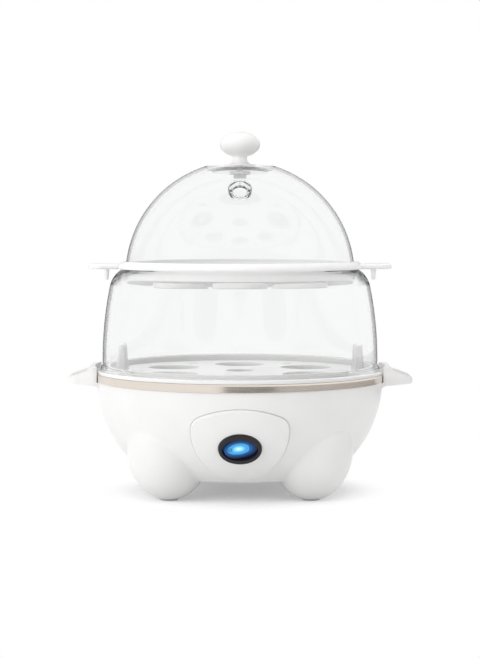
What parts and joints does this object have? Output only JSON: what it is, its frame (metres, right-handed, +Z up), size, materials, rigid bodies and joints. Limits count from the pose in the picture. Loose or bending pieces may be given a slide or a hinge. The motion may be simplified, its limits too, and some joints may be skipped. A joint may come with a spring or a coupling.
{
  "type": "egg cooker",
  "caption": "Two-tier electric egg cooker: white bowl base on rounded legs with a lit rocker switch, clear domes, pierced egg trays with ears, and a knobbed lid with a steam vent.",
  "frame": {"origin": "on the floor, below the axis of the round base and domes", "axes": "+Z up, front with the control panel towards -Y, handles along X"},
  "size_m": [0.214, 0.18, 0.2232],
  "materials": {
    "white_plastic": "satin",
    "tray_plastic": "satin, slightly translucent",
    "clear_plastic": "clear, polished",
    "rim_steel": "brushed",
    "dish_steel": "satin",
    "silicone": "matte",
    "foot_rubber": "matte",
    "cover_plastic": "fine texture",
    "bezel_black": "glossy",
    "lens_blue": "translucent, lit",
    "black_plastic": "matte",
    "lamp_glass": "clear",
    "element_aluminium": "cast",
    "plated_steel": "zinc plated",
    "contact_brass": "bright",
    "block_plastic": "matte"
  },
  "bodies": {
    "base": {"base_housing": "white_plastic", "bottom_cover": "cover_plastic", "cover_screw_back_right": "plated_steel", "cover_screw_back_left": "plated_steel", "cover_screw_front_left": "plated_steel", "cover_screw_front_right": "plated_steel", "foot_pad_back_right": "foot_rubber", "foot_pad_back_left": "foot_rubber", "foot_pad_front_left": "foot_rubber", "foot_pad_front_right": "foot_rubber", "control_panel": "white_plastic", "switch_bezel": "bezel_black", "switch_body": "black_plastic", "indicator_lamp": "lamp_glass", "switch_blade_left": "contact_brass", "switch_blade_right": "contact_brass", "steel_rim": "rim_steel", "plate_seal": "silicone", "heating_plate": "dish_steel", "heating_element": "element_aluminium", "thermostat": "element_aluminium", "clamp_strap": "plated_steel", "dish_stud_left": "plated_steel", "dish_stud_right": "plated_steel", "strap_nut_left": "plated_steel", "strap_nut_right": "plated_steel", "thermal_fuse": "contact_brass", "buzzer": "black_plastic", "terminal_block": "block_plastic", "cord_gland": "foot_rubber"},
    "rocker": {"rocker": "lens_blue"},
    "lower_tray": {"lower_egg_tray": "tray_plastic"},
    "lower_dome": {"lower_dome": "clear_plastic"},
    "upper_tray": {"upper_egg_tray": "tray_plastic"},
    "lid": {"dome_lid": "clear_plastic", "lid_knob": "white_plastic", "knob_washer": "silicone", "knob_screw": "plated_steel"}
  },
  "joints": [
    {"name": "rocker_hinge", "type": "hinge", "parent": "base", "child": "rocker", "pos_m": [0, -0.07871, 0.03666], "axis": [0, 0.472, -0.8816], "range_deg": [0, 18]},
    {"name": "lower_tray_lift", "type": "slide", "parent": "base", "child": "lower_tray", "axis": [0, 0, 1], "range_m": [0, 0.08]},
    {"name": "lower_dome_lift", "type": "slide", "parent": "lower_tray", "child": "lower_dome", "axis": [0, 0, 1], "range_m": [0, 0.08]},
    {"name": "upper_tray_lift", "type": "slide", "parent": "lower_dome", "child": "upper_tray", "axis": [0, 0, 1], "range_m": [0, 0.08]},
    {"name": "lid_lift", "type": "slide", "parent": "upper_tray", "child": "lid", "axis": [0, 0, 1], "range_m": [0, 0.08]}
  ]
}
